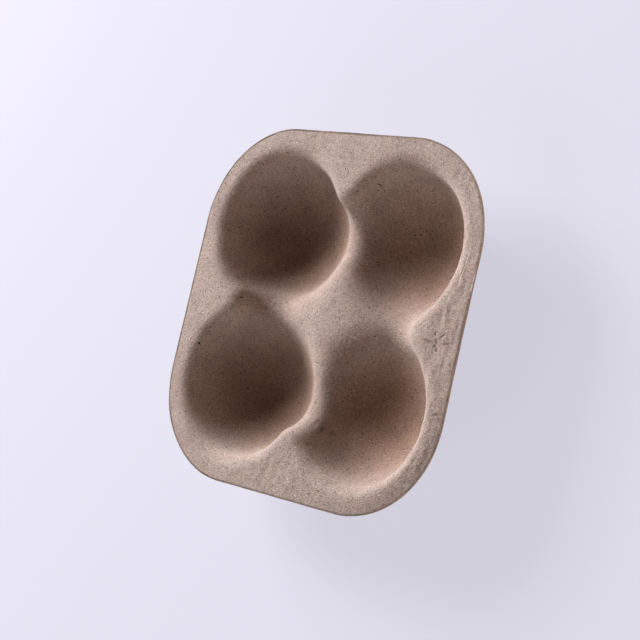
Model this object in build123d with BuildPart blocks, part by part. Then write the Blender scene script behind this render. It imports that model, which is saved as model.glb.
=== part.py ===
from build123d import *
import math
import os

# A four-cell fruit tray pressed from paper pulp: one sheet of even thickness that forms
# a flat flange with rounded corners, four round bowls, low saddles between neighbouring
# bowls and a crowned mound in the middle, which lies lower than the flange.
# Lengths are in millimetres. The tray lies open side up on the flats under its bowls,
# and the origin is on the ground below its middle.

# Sheet
wall = 1.2                # thickness of the pressed pulp

# Bowls, measured on the fruit side
bowl_pitch = 78.0         # from the middle of one bowl to the next
bowl_gap = 3.0            # between the balls that two neighbouring bowls are part of
bowl_depth = 36.0         # from the flange down to the floor of a bowl
floor_cut = 0.5           # height cut off the ball by the flat floor
floor_blend = 12.0        # radius between the floor and the wall of a bowl

# Rim, saddles and mound, measured on the fruit side
rim_roll = 8.0            # radius of the edge that rolls from the flange into a bowl
flange_width = 6.6        # flat border outside the rolled rims
saddle_roll = 10.0        # radius of the ridge between two bowls, across its crest
mound_crown = 5.8         # height of the mound's top above its edge
mound_roll = 12.0         # radius of the edge that rolls from the mound into a bowl
mound_step = 0.8          # how far that edge passes above the lowest point of a saddle

# Sizes that follow
half_pitch = bowl_pitch / 2
bowl_radius = (bowl_pitch - bowl_gap) / 2
flange_top = wall + bowl_depth
ball_height = wall + bowl_radius - floor_cut
ball_rise = ball_height - flange_top
rim_reach = math.sqrt((bowl_radius + rim_roll) ** 2 - (ball_rise + rim_roll) ** 2)
corner_radius = rim_reach + flange_width
tray_side = bowl_pitch + 2 * corner_radius
waist_centre = math.sqrt((bowl_radius + saddle_roll) ** 2 - half_pitch**2)
saddle_drop = waist_centre - saddle_roll - ball_rise
mound_radius = (half_pitch**2 + mound_crown**2) / (2 * mound_crown)
mound_top = flange_top - saddle_drop + mound_step + mound_crown

# The block that gives a skin reaches well past the tray
block_side = tray_side + 2 * bowl_pitch
block_base = -bowl_depth


def bowl_pair(sunk):
    """Two balls joined by a waisted neck, which hollow two bowls and the saddle between them.

    The neck is tangent to both balls. The profile is turned about the line through their
    middles, and its start lies on top, so that the seam stays above the tray.
    """
    ball = bowl_radius + sunk
    waist = saddle_roll - sunk
    waist_share = waist / (ball + waist)
    tangent_x = half_pitch * waist_share
    tangent_y = waist_centre * (1 - waist_share)
    shoulder = ball * math.sqrt(2) / 2
    with BuildPart() as pair:
        with BuildSketch(Plane.XZ):
            with BuildLine():
                left = ThreePointArc(
                    (-half_pitch - ball, 0), (-half_pitch - shoulder, shoulder), (-half_pitch, ball)
                )
                left_shoulder = RadiusArc(left @ 1, (-tangent_x, tangent_y), ball)
                saddle = ThreePointArc(
                    left_shoulder @ 1, (0, waist_centre - waist), (tangent_x, tangent_y)
                )
                right_shoulder = RadiusArc(saddle @ 1, (half_pitch, ball), ball)
                right = ThreePointArc(
                    right_shoulder @ 1, (half_pitch + shoulder, shoulder), (half_pitch + ball, 0)
                )
                Line(right @ 1, left @ 0)
            make_face()
        revolve(axis=Axis.X)
    return pair.part


def mound_clearance(sunk):
    """What is cleared away above the crowned mound, down to sunk below its fruit side.

    The ball under the crown lies on its side, so that its poles stay away from the mound.
    """
    with BuildPart() as clearance:
        with BuildSketch(Plane.XY.offset(block_base)):
            Circle(half_pitch)
        extrude(amount=flange_top + ball_height - block_base)
        with Locations((0, 0, mound_top - mound_radius)):
            Sphere(mound_radius - sunk, rotation=(0, 90, 0), mode=Mode.SUBTRACT)
    return clearance.part


def skin_block(sunk):
    """Block whose upper side is the fruit side of the tray, sunk everywhere by one depth.

    Hollow radii grow by that depth and rounded ones shrink by it, so two such blocks
    bound a sheet of even thickness.
    """
    pair = bowl_pair(sunk)
    with BuildPart() as block:
        with BuildSketch(Plane.XY.offset(block_base)):
            Rectangle(block_side, block_side)
        extrude(amount=flange_top - sunk - block_base)
        with Locations((0, -half_pitch, ball_height), (0, half_pitch, ball_height)):
            add(pair, mode=Mode.SUBTRACT)
        with Locations((-half_pitch, 0, ball_height), (half_pitch, 0, ball_height)):
            add(pair, rotation=(0, 0, 90), mode=Mode.SUBTRACT)
        add(mound_clearance(sunk), mode=Mode.SUBTRACT)
        with BuildSketch(Plane.XY.offset(block_base)):
            Rectangle(block_side, block_side)
        extrude(amount=wall - sunk - block_base)

        mound = block.faces().sort_by_distance((0, 0, flange_top))[0]
        fillet(mound.edges(), mound_roll - sunk)

        flange = block.faces().filter_by(Plane.XY).sort_by(Axis.Z)[-1]
        fillet(flange.inner_wires().edges(), rim_roll - sunk)

        floors = block.faces().filter_by(Plane.XY).group_by(Axis.Z)[1]
        fillet(floors.edges(), floor_blend + sunk)
    return block.part


# Tray: the sheet between the fruit side and the same form sunk by the wall, trimmed to a
# rounded square whose corners are concentric with the bowls
with BuildPart() as fruit_tray:
    with BuildSketch():
        RectangleRounded(tray_side, tray_side, corner_radius)
    extrude(amount=flange_top)
    add(skin_block(0), mode=Mode.INTERSECT)
    add(skin_block(wall), mode=Mode.SUBTRACT)

fruit_tray.part.label = "fruit_tray"

os.makedirs("parts", exist_ok=True)
export_step(fruit_tray.part, "parts/fruit_tray.step")
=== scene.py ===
"""A moulded pulp fruit tray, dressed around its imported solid.

The pressed sheet is a fine mesh laid on the solid's fruit side and given its wall, with the
lumps, creases and trimmed edge of real pulp. A studio with a pale floor, two soft lamps and a
warm sky, and a camera at the photograph's angle complete the scene.
"""

import logging
import math
from dataclasses import dataclass, field
from enum import Enum
from typing import ClassVar, NamedTuple

import bmesh
import bpy
from mathutils import Matrix, Vector, noise
from mathutils.bvhtree import BVHTree


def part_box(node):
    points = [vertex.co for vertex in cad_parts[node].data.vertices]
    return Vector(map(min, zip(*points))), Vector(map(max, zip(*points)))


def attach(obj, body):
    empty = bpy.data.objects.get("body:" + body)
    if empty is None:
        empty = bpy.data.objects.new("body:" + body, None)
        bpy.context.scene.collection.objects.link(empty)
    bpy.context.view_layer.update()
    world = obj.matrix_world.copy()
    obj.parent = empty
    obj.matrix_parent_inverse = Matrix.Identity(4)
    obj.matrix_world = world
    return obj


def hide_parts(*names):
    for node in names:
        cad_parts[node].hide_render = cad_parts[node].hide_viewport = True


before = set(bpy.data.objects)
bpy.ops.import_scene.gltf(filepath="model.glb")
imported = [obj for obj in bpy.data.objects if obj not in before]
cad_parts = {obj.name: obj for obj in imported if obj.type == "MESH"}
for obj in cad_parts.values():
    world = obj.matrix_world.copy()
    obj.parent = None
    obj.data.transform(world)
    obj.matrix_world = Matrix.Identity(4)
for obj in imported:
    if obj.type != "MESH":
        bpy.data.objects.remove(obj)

LOG = logging.getLogger("fruit_tray")
MM = 0.001
HALFWAY = 0.5
Colour = tuple[float, float, float]
Triple = tuple[float, float, float]
Socket = bpy.types.NodeSocket
Input = Socket | float | tuple[float, ...]


class Side(Enum):
    """The regions of the pressed sheet that are finished in different ways."""

    PRESSED = 0
    TRIMMED = 1


class Ramp(NamedTuple):
    """A range of a value and the range that it becomes, with both ends held."""

    low: float
    high: float
    start: float = 0.0
    end: float = 1.0


class NodeBoard:
    """Places and links the nodes of one tree, so that a finish reads as a list of steps."""

    def __init__(self, tree: bpy.types.NodeTree) -> None:
        """Starts on a tree.

        Args:
            tree: the node tree that receives the nodes.
        """
        self.tree = tree

    def add(self, kind: str, options: dict | None = None, **sockets: Input) -> bpy.types.Node:
        """Adds a node.

        Args:
            kind: the node's type name without its Shader prefix, such as TexNoise.
            options: properties to set on the node before its sockets.
            sockets: values or outputs for inputs, by name with _ for a space.

        Returns:
            The new node.
        """
        node = self.tree.nodes.new(kind if kind.startswith("Node") else "ShaderNode" + kind)
        for name, value in (options or {}).items():
            setattr(node, name, value)
        for name, value in sockets.items():
            self.feed(node, name.replace("_", " "), value)
        return node

    def feed(self, node: bpy.types.Node, name: str, value: Input) -> None:
        """Sets or links one input.

        Args:
            node: the node that owns the input.
            name: the input's name, or its number written as text.
            value: an output socket to link, or a plain value.
        """
        socket = node.inputs[int(name)] if name.isdigit() else node.inputs[name]
        if isinstance(value, Socket):
            self.tree.links.new(value, socket)
        elif socket.type == "RGBA":
            socket.default_value = (*value, 1.0)
        else:
            socket.default_value = value

    def attribute(self, name: str) -> Socket:
        """Reads one of the mesh's own attributes."""
        return self.add("Attribute", {"attribute_name": name}).outputs["Fac"]

    def maths(self, operation: str, first: Input, second: Input = 0.0) -> Socket:
        """Adds a maths node.

        Args:
            operation: the node's operation.
            first: a value or an output.
            second: a value or an output, which some operations leave unused.

        Returns:
            The result's output.
        """
        node = self.add("Math", {"operation": operation})
        self.feed(node, "0", first)
        self.feed(node, "1", second)
        return node.outputs[0]

    def measure(self, operation: str, first: Socket, second: Input = (0.0, 0.0, 0.0)) -> Socket:
        """Adds a vector maths node that gives one number.

        Args:
            operation: LENGTH or DISTANCE.
            first: the vector to measure, or one end of the distance.
            second: the other end of the distance, which a length leaves unused.

        Returns:
            The number's output.
        """
        node = self.add("VectorMath", {"operation": operation})
        self.feed(node, "0", first)
        self.feed(node, "1", second)
        return node.outputs["Value"]

    def spread(self, value: Socket, ramp: Ramp) -> Socket:
        """Maps a value along a ramp.

        Args:
            value: the output to map.
            ramp: the range that it has and the range that it gets.

        Returns:
            The mapped output.
        """
        node = self.add("MapRange", Value=value)
        for name, number in zip(("From Min", "From Max", "To Min", "To Max"), ramp):
            node.inputs[name].default_value = number
        return node.outputs[0]

    def blend(self, share: Input, first: Input, second: Input, kind: str = "MIX") -> Socket:
        """Mixes two colours.

        Args:
            share: how much of the second colour shows.
            first: a colour or an output.
            second: a colour or an output.
            kind: the way of mixing.

        Returns:
            The mixed colour's output.
        """
        node = self.add("Mix", {"data_type": "RGBA", "blend_type": kind})
        self.feed(node, "0", share)
        self.feed(node, "6", first)
        self.feed(node, "7", second)
        return node.outputs[2]

    def bump(self, height: Socket, depth: float, below: Socket | None = None) -> Socket:
        """Adds relief.

        Args:
            height: the pattern, from zero to one.
            depth: how far it stands out at one, in metres, or how far it is sunk if negative.
            below: the normal of the relief that this one lies on.

        Returns:
            The normal's output.
        """
        node = self.add(
            "Bump", {"invert": depth < 0}, Height=height, Distance=abs(depth), Strength=1.0
        )
        if below is not None:
            self.feed(node, "Normal", below)
        return node.outputs[0]

    def camera_mix(self, lit: Socket, plain: Socket, share: float) -> Socket:
        """Shows the camera some plain colour, and everything else the lit shader.

        Args:
            lit: the shader that takes part in the light.
            plain: the shader for the camera.
            share: how much of the plain one the camera sees.

        Returns:
            The mixed shader's output.
        """
        seen = self.add("LightPath").outputs["Is Camera Ray"]
        mix = self.add("MixShader")
        self.feed(mix, "0", self.maths("MULTIPLY", seen, share))
        self.feed(mix, "1", lit)
        self.feed(mix, "2", plain)
        return mix.outputs[0]


@dataclass(frozen=True)
class MattedFibres:
    """The felt in both finishes: fine grain with strands that lie in three directions."""

    name: str = "matted_fibres"
    ground: Ramp = Ramp(0.25, 0.75, 0.0, 0.55)
    strand: Ramp = Ramp(0.5, 0.74, 0.0, 0.3)
    strand_turns: tuple[float, ...] = (0.3, 1.35, 2.4)
    strand_tilt: tuple[float, float] = (0.2, -0.15)
    strand_stretch: Triple = (0.3, 1.0, 1.0)
    fleck_shift: Triple = (0.31, 0.17, 0.53)
    pepper_coarseness: float = 0.45
    cloud_scale: float = 70.0

    def group(self) -> bpy.types.NodeTree:
        """Builds the felt as a group, once.

        Returns:
            The group, with inputs Vector and Grain, and outputs Height, Fleck, Pepper and Mottle.
        """
        if self.name in bpy.data.node_groups:
            return bpy.data.node_groups[self.name]
        group = bpy.data.node_groups.new(self.name, "ShaderNodeTree")
        for name, kind in (("Vector", "NodeSocketVector"), ("Grain", "NodeSocketFloat")):
            group.interface.new_socket(name, in_out="INPUT", socket_type=kind)
        for name in ("Height", "Fleck", "Pepper", "Mottle"):
            group.interface.new_socket(name, in_out="OUTPUT", socket_type="NodeSocketFloat")
        board = NodeBoard(group)
        inlet = board.add("NodeGroupInput")
        place = inlet.outputs["Vector"]
        grain = inlet.outputs["Grain"]

        felt = board.add("TexNoise", Vector=place, Scale=grain, Detail=2.0, Roughness=0.7)
        height = board.spread(felt.outputs[0], self.ground)
        for turn in self.strand_turns:
            turned = (*self.strand_tilt, turn)
            laid = board.add("Mapping", Vector=place, Rotation=turned, Scale=self.strand_stretch)
            strand = board.add(
                "TexNoise", Vector=laid.outputs[0], Scale=grain, Detail=1.0, Distortion=0.4
            )
            height = board.maths("ADD", height, board.spread(strand.outputs[0], self.strand))
        aside = board.add("Mapping", Vector=place, Location=self.fleck_shift).outputs[0]
        fleck = board.add("TexNoise", Vector=aside, Scale=grain, Detail=1.0, Roughness=0.6)
        coarse = board.maths("MULTIPLY", grain, self.pepper_coarseness)
        pepper = board.add("TexNoise", Vector=aside, Scale=coarse, Detail=0.0, Distortion=0.5)
        mottle = board.add(
            "TexNoise", Vector=place, Scale=self.cloud_scale, Detail=4.0, Roughness=0.6
        )
        board.add(
            "NodeGroupOutput", Height=height, Fleck=fleck.outputs[0], Pepper=pepper.outputs[0],
            Mottle=mottle.outputs[0],
        )
        return group


class FeltedMaterial:
    """A new material with the felt in it, and the coordinates that its patterns read."""

    def __init__(self, name: str, grain: float) -> None:
        """Starts the material.

        Args:
            name: the material's name.
            grain: the scale of the felt's grain, per metre.
        """
        self.material = bpy.data.materials.new(name)
        self.material.use_nodes = True
        tree = self.material.node_tree
        self.shader = tree.nodes["Principled BSDF"]
        self.board = NodeBoard(tree)
        self.place = self.board.add("TexCoord").outputs["Object"]
        self.axes = self.board.add("SeparateXYZ", Vector=self.place).outputs
        felt = {"node_tree": MattedFibres().group()}
        self.felt = self.board.add("Group", felt, Vector=self.place, Grain=grain).outputs

    def finish(
        self, colour: Socket, normal: Socket, constants: dict[str, float]
    ) -> bpy.types.Material:
        """Feeds the shader.

        Args:
            colour: the base colour.
            normal: the relief.
            constants: what is the same all over the surface, by the shader's own socket.

        Returns:
            The finished material.
        """
        self.board.feed(self.shader, "Base Color", colour)
        self.board.feed(self.shader, "Normal", normal)
        for name, value in constants.items():
            self.shader.inputs[name].default_value = value
        return self.material


@dataclass(frozen=True)
class PressedPulp:
    """The finish of the pressed faces: grey-brown felt, with painted shade in the bowls that makes
    them darker and warmer towards their bottoms.

    It carries clouds, flecks, dark specks, a stain, a painted shadow line along the border,
    creases in the flange with painted shade in them, the faint line of the mould around each bowl,
    and the imprint of wire cloth below.
    """

    name: str = "pressed_pulp"
    flange_colour: Colour = (0.448, 0.344, 0.308)
    # The bowl colour and its depths paint shade into the bowls: darker and warmer than the flange.
    bowl_shade_colour: Colour = (0.4, 0.253, 0.192)
    speck_colour: Colour = (0.035, 0.026, 0.022)
    # Painted shade, for the line along the border and the darkening in the creases.
    stain_colour: Colour = (0.36, 0.22, 0.11)
    painted_shade_colour: Colour = (0.1, 0.06, 0.038)
    bowl_shade_depths: Ramp = Ramp(28.0 * MM, 4.0 * MM)
    cloud: Ramp = Ramp(0.32, 0.68, 0.87, 1.1)
    fluff: Ramp = Ramp(0.2, 0.85, 0.8, 1.18)
    fleck: Ramp = Ramp(0.3, 0.7, 0.62, 1.42)
    pepper: Ramp = Ramp(0.68, 0.78, 1.0, 0.45)
    salt: Ramp = Ramp(0.24, 0.34, 1.22, 1.0)
    grain: float = 2400.0
    felt_depth: float = 0.2 * MM
    wire_pitch: float = 1.1 * MM
    wire_depth: float = 0.12 * MM

    # Painted shade along the border, where the edge rounds down: its reach, its breaks and how it
    # fades to the right.
    painted_shade_reach: Ramp = Ramp(0.25, 0.5)
    painted_shade_breaks: Ramp = Ramp(0.4, 0.6, 0.55, 1.0)
    painted_shade_across: Ramp = Ramp(-40.0 * MM, 80.0 * MM, 1.0, 0.4)

    speck_pitch: float = 7.0 * MM
    speck_radius: float = 0.42 * MM
    speck_rarity: float = 0.55
    speck_edge: Ramp = Ramp(-0.004, 0.012)
    speck_core: float = 0.55
    # Across, along and radius in mm.
    large_specks: tuple[Triple, ...] = (
        (-76.4, -25.1, 0.75), (-56.2, 2.1, 0.5), (-1.6, -41.4, 0.5), (15.7, 67.3, 0.5),
        (37.7, 69.5, 0.5), (64.2, -5.8, 0.55), (35.7, -44.8, 0.5), (40.9, -43.4, 0.45),
        (39.8, -46.8, 0.4), (27.8, -81.8, 0.5),
    )

    stain_centre: Triple = (-3.0 * MM, 3.0 * MM, 0.0)
    stain_squeeze: Triple = (0.7, 1.5, 0.0)
    stain_fade: Ramp = Ramp(3.2 * MM, 0.0, 0.0, 0.55)
    stain_breaks: Ramp = Ramp(0.42, 0.58)

    # Start and end, each across and along, in mm.
    creases: tuple[tuple[float, float, float, float], ...] = (
        (67.0, -2.6, 78.0, -4.7), (75.3, 2.1, 76.2, -1.4), (75.5, -2.1, 78.6, -3.9),
        (77.7, -1.9, 82.4, 1.6), (75.4, -6.0, 77.8, -4.8), (80.0, -3.6, 86.7, -3.3),
        (77.1, -5.4, 79.2, -8.0), (83.5, -36.0, 88.0, -35.0), (7.5, -51.0, 9.0, -57.0),
        (10.5, -52.0, 12.0, -57.0),
    )
    crease_width: float = 0.9 * MM
    crease_depth: float = 0.6 * MM
    crease_breaks: Ramp = Ramp(0.35, 0.55, 0.5, 1.0)
    # Painted shade: how dark the creases are painted.
    crease_shade: float = 0.5

    bowl_centre: float = 39.0 * MM
    mould_line: float = 44.6 * MM
    mould_line_fade: Ramp = Ramp(0.45 * MM, 0.0)
    mould_line_breaks: Ramp = Ramp(0.47, 0.6)
    mould_line_depth: float = 0.12 * MM

    roughness: float = 0.93
    specular: float = 0.25
    sheen: float = 0.1
    sheen_roughness: float = 0.6

    def material(self) -> bpy.types.Material:
        """Builds the material.

        Returns:
            The finished material.
        """
        work = FeltedMaterial(self.name, self.grain)
        board = work.board
        creases = self._creases(work)
        wires = board.maths("MULTIPLY", self._wires(work), board.attribute("under"))
        normal = board.bump(work.felt["Height"], self.felt_depth)
        normal = board.bump(wires, self.wire_depth, normal)
        normal = board.bump(creases, -self.crease_depth, normal)
        normal = board.bump(self._mould_line(work), -self.mould_line_depth, normal)
        return work.finish(self._colour(work, creases), normal, {
            "Roughness": self.roughness, "Specular IOR Level": self.specular,
            "Sheen Weight": self.sheen, "Sheen Roughness": self.sheen_roughness,
        })

    def _colour(self, work: FeltedMaterial, creases: Socket) -> Socket:
        """Lays the colours over each other, from the painted shade of the bowls to the specks.

        Args:
            work: the material in the making.
            creases: the mask of the creases.

        Returns:
            The finished colour.
        """
        board, felt = work.board, work.felt
        # Painted shade: the bowls turn darker and warmer with depth.
        depth = board.spread(work.axes["Z"], self.bowl_shade_depths)
        colour = board.blend(depth, self.flange_colour, self.bowl_shade_colour)
        for pattern, ramp in (
            ("Mottle", self.cloud), ("Height", self.fluff), ("Fleck", self.fleck),
            ("Pepper", self.pepper), ("Pepper", self.salt),
        ):
            value = board.spread(felt[pattern], ramp)
            shade = board.add("CombineColor", Red=value, Green=value, Blue=value).outputs[0]
            colour = board.blend(1.0, colour, shade, "MULTIPLY")
        colour = board.blend(self._stain(work), colour, self.stain_colour)
        # Painted shade: a dark line along the border and darkening in the creases.
        for mask in (self._border_shade(work), board.maths("MULTIPLY", creases, self.crease_shade)):
            colour = board.blend(mask, colour, self.painted_shade_colour)
        return board.blend(self._specks(work), colour, self.speck_colour)

    def _border_shade(self, work: FeltedMaterial) -> Socket:
        """Masks the broken line of painted shade along the border, where the edge rounds down,
        which is fainter to the right.

        Args:
            work: the material in the making.

        Returns:
            A mask that is one where the painted shade is full.
        """
        board = work.board
        border = board.spread(board.attribute("border"), self.painted_shade_reach)
        breaks = board.spread(work.felt["Mottle"], self.painted_shade_breaks)
        broken = board.maths("MULTIPLY", border, breaks)
        return board.maths("MULTIPLY", broken, board.spread(work.axes["X"], self.painted_shade_across))

    def _specks(self, work: FeltedMaterial) -> Socket:
        """Masks dark specks of unpulped paper, small ones at random and a few large ones.

        Args:
            work: the material in the making.

        Returns:
            A mask that is one inside a speck.
        """
        board = work.board
        cells = board.add("TexVoronoi", Vector=work.place, Scale=1.0 / self.speck_pitch)
        chosen = board.add("SeparateColor", Color=cells.outputs["Color"]).outputs[0]
        largest = self.speck_radius / self.speck_pitch
        reach = board.spread(chosen, Ramp(self.speck_rarity, 1.0, 0.0, largest))
        inside = board.maths("SUBTRACT", reach, cells.outputs["Distance"])
        mask = board.spread(inside, self.speck_edge)
        plan = board.add("CombineXYZ", X=work.axes["X"], Y=work.axes["Y"]).outputs[0]
        for across, along, radius in self.large_specks:
            gap = board.measure("DISTANCE", plan, (across * MM, along * MM, 0.0))
            spot = board.spread(gap, Ramp(radius * MM, self.speck_core * radius * MM))
            mask = board.maths("MAXIMUM", mask, spot)
        return mask

    def _stain(self, work: FeltedMaterial) -> Socket:
        """Masks the small ochre stain on the mound.

        Args:
            work: the material in the making.

        Returns:
            A mask that is strongest at the stain's middle.
        """
        board = work.board
        shift = tuple(-at * squeeze for at, squeeze in zip(self.stain_centre, self.stain_squeeze))
        laid = board.add("Mapping", Vector=work.place, Location=shift, Scale=self.stain_squeeze)
        near = board.spread(board.measure("LENGTH", laid.outputs[0]), self.stain_fade)
        return board.maths("MULTIPLY", near, board.spread(work.felt["Fleck"], self.stain_breaks))

    def _wires(self, work: FeltedMaterial) -> Socket:
        """Draws the imprint of the mould's wire cloth.

        Args:
            work: the material in the making.

        Returns:
            The height of the imprint, from zero to one.
        """
        board = work.board
        turn = math.tau / self.wire_pitch
        ridges = []
        for axis in ("X", "Y"):
            wave = board.maths("SINE", board.maths("MULTIPLY", work.axes[axis], turn))
            ridges.append(board.spread(wave, Ramp(-1.0, 1.0)))
        return board.maths("MULTIPLY", ridges[0], ridges[1])

    def _creases(self, work: FeltedMaterial) -> Socket:
        """Draws the creases crushed into the flange, each a narrow ellipse that fades outwards.

        Args:
            work: the material in the making.

        Returns:
            The depth of the creases, from zero to one.
        """
        board = work.board
        depth = 0.0
        for start_across, start_along, end_across, end_along in self.creases:
            start = Vector((start_across, start_along, 0.0)) * MM
            end = Vector((end_across, end_along, 0.0)) * MM
            run = end - start
            laid = board.add(
                "Mapping", {"vector_type": "TEXTURE"}, Vector=work.place,
                Location=(start + end) / 2, Rotation=(0.0, 0.0, math.atan2(run.y, run.x)),
                Scale=(run.length / 2, self.crease_width, 1.0),
            ).outputs[0]
            crease = board.spread(board.measure("LENGTH", laid), Ramp(1.0, 0.0))
            depth = board.maths("MAXIMUM", depth, crease)
        return board.maths("MULTIPLY", depth, board.spread(work.felt["Fleck"], self.crease_breaks))

    def _mould_line(self, work: FeltedMaterial) -> Socket:
        """Draws the faint, broken line where the mould's rim starts to roll into a bowl.

        Args:
            work: the material in the making.

        Returns:
            The depth of the line, from zero to one.
        """
        board = work.board
        sides = []
        for axis in ("X", "Y"):
            out = board.maths("ABSOLUTE", work.axes[axis])
            out = board.maths("SUBTRACT", out, self.bowl_centre)
            sides.append(board.maths("MULTIPLY", out, out))
        away = board.maths("SQRT", board.maths("ADD", sides[0], sides[1]))
        gap = board.maths("ABSOLUTE", board.maths("SUBTRACT", away, self.mould_line))
        line = board.spread(gap, self.mould_line_fade)
        breaks = board.spread(work.felt["Mottle"], self.mould_line_breaks)
        return board.maths("MULTIPLY", line, breaks)


@dataclass(frozen=True)
class TrimmedEdge:
    """The finish of the trimmed edge: torn, paler felt, made paler still as painted light on the
    edge, with painted shade along its upper rim.
    """

    name: str = "trimmed_edge"
    # Torn felt is paler, and these tones are paler still: painted light on the edge face.
    dark: Colour = (0.6, 0.44, 0.32)
    light: Colour = (0.86, 0.67, 0.51)
    # Painted shade along the upper rim of the edge, where it rounds into the flange, fainter to
    # the right.
    rim_shade_colour: Colour = (0.14, 0.085, 0.055)
    torn: Ramp = Ramp(0.35, 0.65)
    painted_shade_reach: Ramp = Ramp(0.3, 0.0)
    painted_shade_across: Ramp = Ramp(-40.0 * MM, 80.0 * MM, 0.9, 0.2)
    grain: float = 1900.0
    fray_depth: float = 0.3 * MM
    roughness: float = 0.96
    specular: float = 0.2

    def material(self) -> bpy.types.Material:
        """Builds the material.

        Returns:
            The finished material.
        """
        work = FeltedMaterial(self.name, self.grain)
        board = work.board
        torn = board.spread(work.felt["Fleck"], self.torn)
        rim = board.spread(board.attribute("under"), self.painted_shade_reach)
        shaded_rim = board.maths("MULTIPLY", rim, board.spread(work.axes["X"], self.painted_shade_across))
        # Painted light and shade: the pale torn tones, darkened towards the upper rim.
        colour = board.blend(shaded_rim, board.blend(torn, self.dark, self.light), self.rim_shade_colour)
        fray = board.bump(work.felt["Height"], self.fray_depth)
        return work.finish(colour, fray, {
            "Roughness": self.roughness, "Specular IOR Level": self.specular,
        })


@dataclass(frozen=True)
class RoughPatch:
    """A place where the pulp dried uneven, with bumps or creases that fade outwards.

    Its sizes are in mm.
    """

    across: float
    along: float
    reach_across: float
    reach_along: float
    height: float
    pitch_across: float
    pitch_along: float
    creased: bool = False
    crease_level: ClassVar[float] = 0.3
    crease_fall: ClassVar[float] = 2.0
    fade: ClassVar[float] = 2.0

    def rise(self, place: Vector) -> float:
        """Finds how far the patch lifts a point.

        Args:
            place: the point, in metres.

        Returns:
            The lift, in metres.
        """
        across, along, up = (value / MM for value in place)
        share = 1.0 - math.hypot(
            (across - self.across) / self.reach_across, (along - self.along) / self.reach_along
        )
        if share <= 0.0:
            return 0.0
        wave = noise.noise(Vector((
            across / self.pitch_across, along / self.pitch_along, up / self.pitch_across
        )))
        if self.creased:
            wave = self.crease_level - self.crease_fall * abs(wave)
        return self.height * MM * wave * min(1.0, self.fade * share)


def object_of(
    name: str, bm: bmesh.types.BMesh, materials: list[bpy.types.Material]
) -> bpy.types.Object:
    """Turns a finished bmesh into an object at the origin and puts it in the scene.

    Args:
        name: the name of the object and its mesh.
        bm: the bmesh, which is freed.
        materials: the materials of its slots, in order.

    Returns:
        The object.
    """
    mesh = bpy.data.meshes.new(name)
    bm.to_mesh(mesh)
    bm.free()
    for material in materials:
        mesh.materials.append(material)
    piece = bpy.data.objects.new(name, mesh)
    bpy.context.scene.collection.objects.link(piece)
    return piece


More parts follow.
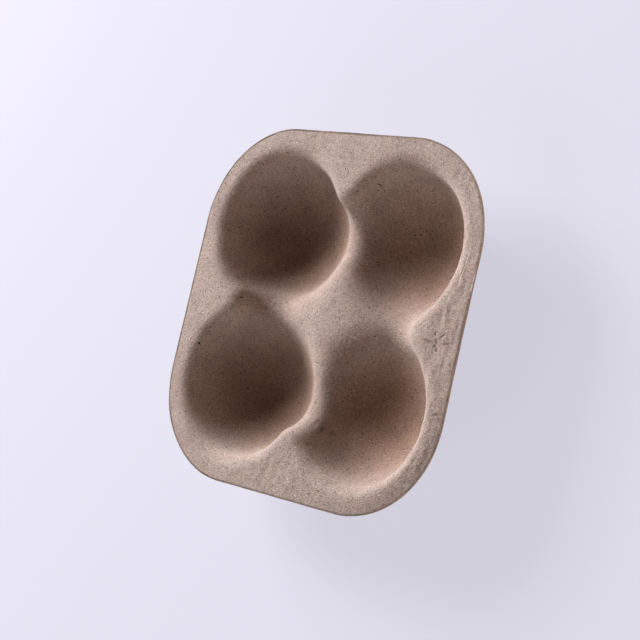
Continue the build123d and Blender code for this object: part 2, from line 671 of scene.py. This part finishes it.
@dataclass
class PulpSheet:
    """The pressed sheet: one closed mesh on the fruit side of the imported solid, with its wall.

    The grid is evened out as often as settling says at each step of making it finer, and then
    melted a little so that no facet of the solid shows.
    """

    node: str = "fruit_tray"
    wall: float = 1.2 * MM
    corner_radius: float = 51.2 * MM
    edge_round: float = 0.25 * MM
    least_upward: float = 0.1
    cells: int = 27
    settling: tuple[int, ...] = (30, 20, 12, 6)
    melting: int = 4

    soft_centre: Vector = Vector((12.0 * MM, 0.0, 0.0))
    soft_reach: float = 60.0 * MM
    soft_rounds: int = 220

    sag_centre: Vector = Vector((39.0 * MM, -39.0 * MM, 0.0))
    sag_start: float = 42.0 * MM
    sag_width: float = 9.2 * MM
    sag_turn: float = math.radians(-42.0)
    sag_depth: float = 1.8 * MM
    sag_bend: float = 1.1
    sag_narrowing: int = 2

    swell_height: float = 0.16 * MM
    swell_scale: float = 55.0
    lump_height: float = 0.07 * MM
    lump_scale: float = 260.0
    lump_shift: Vector = Vector((3.0, 1.0, 7.0))
    border_width: float = 1.5 * MM
    ragged: float = 0.05 * MM
    fray_seed: int = 1
    fray_scale: float = 70.0
    fine_fray_scale: float = 500.0
    fine_fray_share: float = 0.5
    patches: tuple[RoughPatch, ...] = (
        RoughPatch(82.0, -20.0, 14.0, 75.0, 0.36, 2.6, 8.0),
        RoughPatch(80.0, 30.0, 12.0, 45.0, 0.26, 3.0, 7.0, True),
        RoughPatch(0.0, -80.0, 60.0, 12.0, 0.24, 2.4, 3.2),
        RoughPatch(1.0, -68.6, 12.0, 9.0, 0.3, 2.0, 2.4, True),
        RoughPatch(-35.3, -83.5, 6.0, 4.0, 0.35, 2.2, 2.0, True),
        RoughPatch(15.6, -9.0, 13.0, 8.0, 0.26, 2.4, 2.2, True),
        RoughPatch(72.0, 72.0, 16.0, 16.0, 0.2, 3.5, 2.6, True),
        RoughPatch(44.0, 40.0, 15.0, 18.0, 0.14, 1.9, 1.9),
        RoughPatch(8.0, -54.0, 5.0, 12.0, 0.25, 2.0, 6.0, True),
        RoughPatch(82.0, -62.0, 12.0, 16.0, 0.25, 4.0, 3.5, True),
    )

    pressed: PressedPulp = field(default_factory=PressedPulp)
    trimmed: TrimmedEdge = field(default_factory=TrimmedEdge)
    half_side: float = field(init=False)
    flange_top: float = field(init=False)
    fruit_side: BVHTree = field(init=False)

    def __post_init__(self) -> None:
        """Takes the tray's side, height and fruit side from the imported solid."""
        low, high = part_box(self.node)
        self.half_side = (high.x - low.x) / 2
        self.flange_top = high.z
        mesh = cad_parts[self.node].data
        upward = [
            tuple(face.vertices) for face in mesh.polygons if face.normal.z > self.least_upward
        ]
        self.fruit_side = BVHTree.FromPolygons([v.co.copy() for v in mesh.vertices], upward)

    def build(self) -> bpy.types.Object:
        """Makes the sheet and dresses it.

        Returns:
            The sheet's object, at the origin.
        """
        bm = bmesh.new()
        self._lay(bm)
        self._soften_mound(bm)
        self._sag_corner(bm)
        self._give_wall(bm)
        self._mark_border(bm)
        self._press(bm)
        finishes = {Side.PRESSED: self.pressed, Side.TRIMMED: self.trimmed}
        sheet = object_of("pulp_sheet", bm, [finishes[side].material() for side in Side])
        for face in sheet.data.polygons:
            face.use_smooth = True
        return sheet

    def _on_outline(self, point: Vector) -> Vector:
        """Moves a point of the rim onto the rounded square.

        Args:
            point: a point near the outline.

        Returns:
            The nearest point of the outline, at the flange's height.
        """
        straight = self.half_side - self.corner_radius
        core = Vector((
            max(-straight, min(straight, point.x)),
            max(-straight, min(straight, point.y)),
            0.0,
        ))
        outward = Vector((point.x, point.y, 0.0)) - core
        place = core + outward.normalized() * self.corner_radius
        place.z = self.flange_top
        return place

    def _lay(self, bm: bmesh.types.BMesh) -> None:
        """Lays a square grid on the fruit side and makes it finer step by step.

        Args:
            bm: the empty mesh that receives the grid.
        """
        cells = self.cells
        bmesh.ops.create_grid(bm, x_segments=cells, y_segments=cells, size=self.half_side)
        above = Vector((0, 0, 2 * self.flange_top))
        for vert in bm.verts:
            flat = Vector((vert.co.x, vert.co.y, 0.0))
            share = max(abs(flat.x), abs(flat.y)) / self.half_side
            if share > 0:
                rim = self._on_outline(flat / share)
                flat = Vector((rim.x, rim.y, 0.0)) * share
            hit = self.fruit_side.ray_cast(flat + above, Vector((0, 0, -1)))[0]
            vert.co = hit or Vector((flat.x, flat.y, self.flange_top))
        for step, rounds in enumerate(self.settling):
            if step:
                bmesh.ops.subdivide_edges(bm, edges=bm.edges[:], cuts=1, use_grid_fill=True)
            self._settle(bm, rounds)
        inner = [vert for vert in bm.verts if not vert.is_boundary]
        for _ in range(self.melting):
            self._smooth(bm, inner)

    def _settle(self, bm: bmesh.types.BMesh, rounds: int) -> None:
        """Evens out the grid while it stays on the fruit side and on the outline.

        Args:
            bm: the mesh.
            rounds: how often it is evened out.
        """
        rim = [vert for vert in bm.verts if vert.is_boundary]
        inner = [vert for vert in bm.verts if not vert.is_boundary]
        for _ in range(rounds):
            middles = []
            for vert in rim:
                beside = [edge.other_vert(vert).co for edge in vert.link_edges if edge.is_boundary]
                middles.append((beside[0] + beside[1]) / 2)
            for vert, middle in zip(rim, middles):
                vert.co = self._on_outline(vert.co.lerp(middle, HALFWAY))
            self._smooth(bm, inner)
            for vert in inner:
                vert.co = self.fruit_side.find_nearest(vert.co)[0]

    def _smooth(self, bm: bmesh.types.BMesh, verts: list[bmesh.types.BMVert]) -> None:
        """Moves each vertex halfway to the middle of its neighbours.

        Args:
            bm: the mesh.
            verts: the vertices to move.
        """
        bmesh.ops.smooth_vert(
            bm, verts=verts, factor=HALFWAY, use_axis_x=True, use_axis_y=True, use_axis_z=True
        )

    def _soften_mound(self, bm: bmesh.types.BMesh) -> None:
        """Lets the mound and the saddles flow into the bowls, most of all near the middle.

        Args:
            bm: the mesh of the fruit side.
        """
        for turn in range(self.soft_rounds):
            reach = self.soft_reach * (1.0 - turn / self.soft_rounds)
            near = [vert for vert in bm.verts if (vert.co - self.soft_centre).xy.length < reach]
            self._smooth(bm, near)

    def _sag_corner(self, bm: bmesh.types.BMesh) -> None:
        """Lets the flange sag a little around one corner, as trays do while they dry.

        Args:
            bm: the mesh of the fruit side.
        """
        for vert in bm.verts:
            out = vert.co.xy - self.sag_centre.xy
            share = (out.length - self.sag_start) / self.sag_width
            if share > 0.0:
                facing = max(0.0, math.cos(math.atan2(out.y, out.x) - self.sag_turn))
                vert.co.z -= self.sag_depth * share**self.sag_bend * facing**self.sag_narrowing

    def _give_wall(self, bm: bmesh.types.BMesh) -> None:
        """Gives the sheet its wall, marks its underside and rounds both rims of the edge.

        Args:
            bm: the mesh of the fruit side.
        """
        under = bm.verts.layers.float.new("under")
        upper_verts = set(bm.verts)
        upper_faces = set(bm.faces)
        bmesh.ops.recalc_face_normals(bm, faces=bm.faces[:])
        if sum(face.normal.z for face in bm.faces) < 0:
            bmesh.ops.reverse_faces(bm, faces=bm.faces[:])
        bmesh.ops.solidify(bm, geom=bm.faces[:], thickness=self.wall)
        for vert in bm.verts:
            vert[under] = 0.0 if vert in upper_verts else 1.0
        rim_faces = {
            face for face in bm.faces
            if face not in upper_faces and any(vert in upper_verts for vert in face.verts)
        }
        rim_edges = [
            edge for edge in bm.edges
            if {face in rim_faces for face in edge.link_faces} == {True, False}
        ]
        for face in rim_faces:
            face.material_index = Side.TRIMMED.value
        bmesh.ops.bevel(
            bm, geom=rim_edges, offset=self.edge_round, offset_type="OFFSET", segments=2,
            profile=0.5, affect="EDGES", material=-1, clamp_overlap=True,
        )

    def _mark_border(self, bm: bmesh.types.BMesh) -> None:
        """Marks the border with a value that fades from one at the outline to zero inwards.

        Args:
            bm: the closed mesh.
        """
        border = bm.verts.layers.float.new("border")
        straight = self.half_side - self.corner_radius
        for vert in bm.verts:
            across = abs(vert.co.x) - straight
            along = abs(vert.co.y) - straight
            reach = math.hypot(max(across, 0.0), max(along, 0.0)) + min(max(across, along), 0.0)
            inset = self.corner_radius - reach
            vert[border] = max(0.0, 1.0 - max(inset, 0.0) / self.border_width)

    def _press(self, bm: bmesh.types.BMesh) -> None:
        """Gives the sheet the lumps, creases and ragged rim of pressed pulp, above the floor.

        Args:
            bm: the closed mesh.
        """
        bm.normal_update()
        noise.seed_set(self.fray_seed)
        border = bm.verts.layers.float["border"]
        moves = []
        for vert in bm.verts:
            place = vert.co
            swell = self.swell_height * noise.noise(place * self.swell_scale)
            lumps = self.lump_height * noise.noise(place * self.lump_scale + self.lump_shift)
            rough = sum(patch.rise(place) for patch in self.patches)
            facing = 1.0 if vert.normal.z > 0 else -1.0
            facing *= 1.0 - vert[border]
            move = vert.normal * (swell + lumps + facing * rough)
            if vert[border] > 0.0:
                fine = self.fine_fray_share * noise.noise_vector(place * self.fine_fray_scale)
                fray = noise.noise_vector(place * self.fray_scale) + fine
                move += vert[border] * self.ragged * Vector((fray.x, fray.y, 0.0))
            moves.append(move)
        for vert, move in zip(bm.verts, moves):
            vert.co += move
            vert.co.z = max(vert.co.z, 0.0)


@dataclass(frozen=True)
class SoftLamp:
    """A round soft lamp that points at the tray from a given side and height, in degrees."""

    name: str
    turn: float
    rise: float
    power: float
    distance: float = 1.6
    size: float = 0.9
    aim: Vector = Vector((0.0, 0.0, 0.037))

    def hang(self) -> None:
        """Makes the lamp, hangs it and points it at the tray."""
        lamp = bpy.data.lights.new(self.name, "AREA")
        lamp.shape = "DISK"
        lamp.size = self.size
        lamp.energy = self.power
        holder = bpy.data.objects.new(self.name, lamp)
        turn, rise = math.radians(self.turn), math.radians(self.rise)
        heading = Vector((
            math.cos(rise) * math.cos(turn), math.cos(rise) * math.sin(turn), math.sin(rise)
        ))
        holder.location = self.aim + heading * self.distance
        holder.rotation_euler = heading.to_track_quat("Z", "Y").to_euler()
        bpy.context.scene.collection.objects.link(holder)


@dataclass(frozen=True)
class Studio:
    """A pale floor, two soft lamps, and a warm sky that is brightest near the ground."""

    pale: Colour = (0.77, 0.755, 0.87)
    plain_share: float = 0.78
    floor_side: float = 6.0
    floor_roughness: float = 0.9
    floor_specular: float = 0.1
    lamps: tuple[SoftLamp, ...] = (
        SoftLamp("side_lamp", turn=150.0, rise=25.0, power=53.5),
        SoftLamp("front_lamp", turn=250.0, rise=32.0, power=6.0),
    )
    sky_colour: Colour = (1.16, 0.93, 0.73)
    sky_strength: float = 1.48
    sky_fall: float = 5.0

    def build(self) -> None:
        """Makes the floor, the lamps and the sky."""
        self._floor()
        for lamp in self.lamps:
            lamp.hang()
        self._sky()

    def _floor(self) -> None:
        """Lays the floor, which the camera sees part lit and part plain, so that it stays even."""
        material = bpy.data.materials.new("studio_floor")
        material.use_nodes = True
        board = NodeBoard(material.node_tree)
        lit = material.node_tree.nodes["Principled BSDF"]
        board.feed(lit, "Base Color", self.pale)
        board.feed(lit, "Roughness", self.floor_roughness)
        board.feed(lit, "Specular IOR Level", self.floor_specular)
        plain = board.add("Emission", Color=self.pale, Strength=1.0)
        surface = board.camera_mix(lit.outputs[0], plain.outputs[0], self.plain_share)
        board.feed(material.node_tree.nodes["Material Output"], "Surface", surface)
        bm = bmesh.new()
        bmesh.ops.create_grid(bm, x_segments=1, y_segments=1, size=self.floor_side / 2)
        object_of("studio_floor", bm, [material])

    def _sky(self) -> None:
        """Makes a sky that fades from the ground upwards, and that the camera sees as plain."""
        world = bpy.data.worlds.new("studio_sky")
        bpy.context.scene.world = world
        world.use_nodes = True
        board = NodeBoard(world.node_tree)
        lit = world.node_tree.nodes["Background"]
        board.feed(lit, "Color", self.sky_colour)
        heading = board.add("TexCoord").outputs["Generated"]
        height = board.add("SeparateXYZ", Vector=heading).outputs["Z"]
        raised = board.maths("MULTIPLY", board.maths("MAXIMUM", height, 0.0), -self.sky_fall)
        fade = board.maths("EXPONENT", raised)
        board.feed(lit, "Strength", board.maths("MULTIPLY", fade, self.sky_strength))
        plain = board.add("Background", Color=self.pale, Strength=1.0)
        surface = board.camera_mix(lit.outputs[0], plain.outputs[0], 1.0)
        board.feed(world.node_tree.nodes["World Output"], "Surface", surface)


@dataclass(frozen=True)
class PhotoCamera:
    """The camera at the photograph's angle to the tray."""

    place: Vector = Vector((0.5450, -0.0475, 0.6161))
    aim: Vector = Vector((0.0042, -0.0026, 0.0372))
    roll: float = math.radians(73.41)
    focal_length: float = 92.86
    sensor: float = 36.0

    def build(self) -> bpy.types.Object:
        """Makes the camera and looks through it.

        Returns:
            The camera's object.
        """
        lens = bpy.data.cameras.new("photo_camera")
        lens.lens = self.focal_length
        lens.sensor_width = self.sensor
        camera = bpy.data.objects.new("photo_camera", lens)
        ahead = (self.aim - self.place).to_track_quat("-Z", "Y").to_matrix().to_4x4()
        rolled = ahead @ Matrix.Rotation(-self.roll, 4, "Z")
        camera.matrix_world = Matrix.Translation(self.place) @ rolled
        bpy.context.scene.collection.objects.link(camera)
        bpy.context.scene.camera = camera
        return camera


def main() -> None:
    """Builds the sheet in place of the imported solid, then the studio and the camera."""
    logging.basicConfig(level=logging.INFO, format="%(name)s: %(message)s")
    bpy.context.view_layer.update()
    sheet = PulpSheet().build()
    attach(sheet, "root")
    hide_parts("fruit_tray")
    LOG.info("pulp_sheet: %d faces", len(sheet.data.polygons))
    Studio().build()
    PhotoCamera().build()
    bpy.context.scene.view_settings.view_transform = "Standard"


if __name__ == "__main__":
    main()
